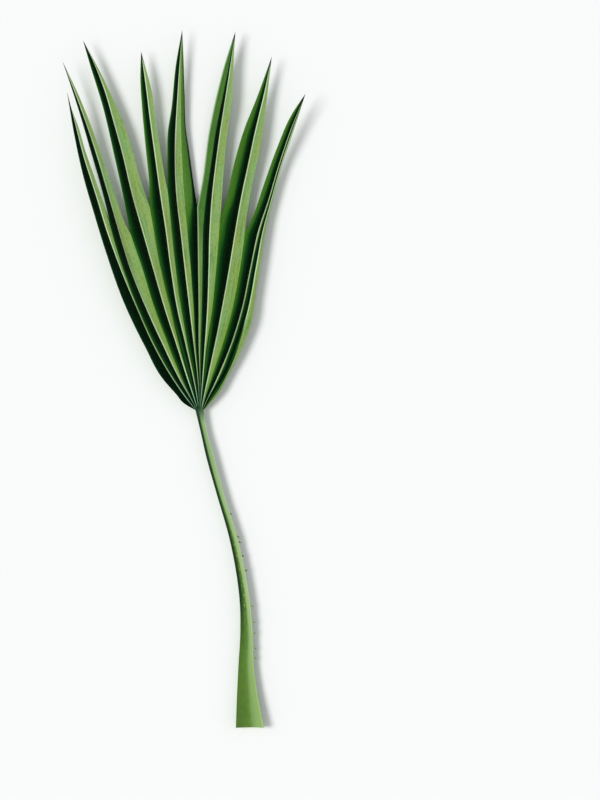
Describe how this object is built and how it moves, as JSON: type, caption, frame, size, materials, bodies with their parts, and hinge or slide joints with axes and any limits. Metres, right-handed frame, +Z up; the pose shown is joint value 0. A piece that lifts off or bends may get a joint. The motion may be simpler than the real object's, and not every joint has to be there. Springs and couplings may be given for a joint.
{
  "type": "fan palm leaf",
  "caption": "Stiff pleated fan palm leaf with pointed segments, on its channelled, spiny stalk with a half-clasping base, picked and lying on its back.",
  "frame": {"origin": "middle of the leaf's length and width, on the surface that it lies on", "axes": "+Y from the stalk's base to the tips, +Z up out of the leaf's upper face, +X to the spiny edge's side"},
  "size_m": [0.2422, 0.696, 0.0313],
  "materials": {
    "blade": "waxy dark green leaf, satin",
    "stalk": "smooth mid-green leaf stalk, satin"
  },
  "bodies": {
    "root": {"blade": "blade", "stalk": "stalk"}
  },
  "joints": []
}
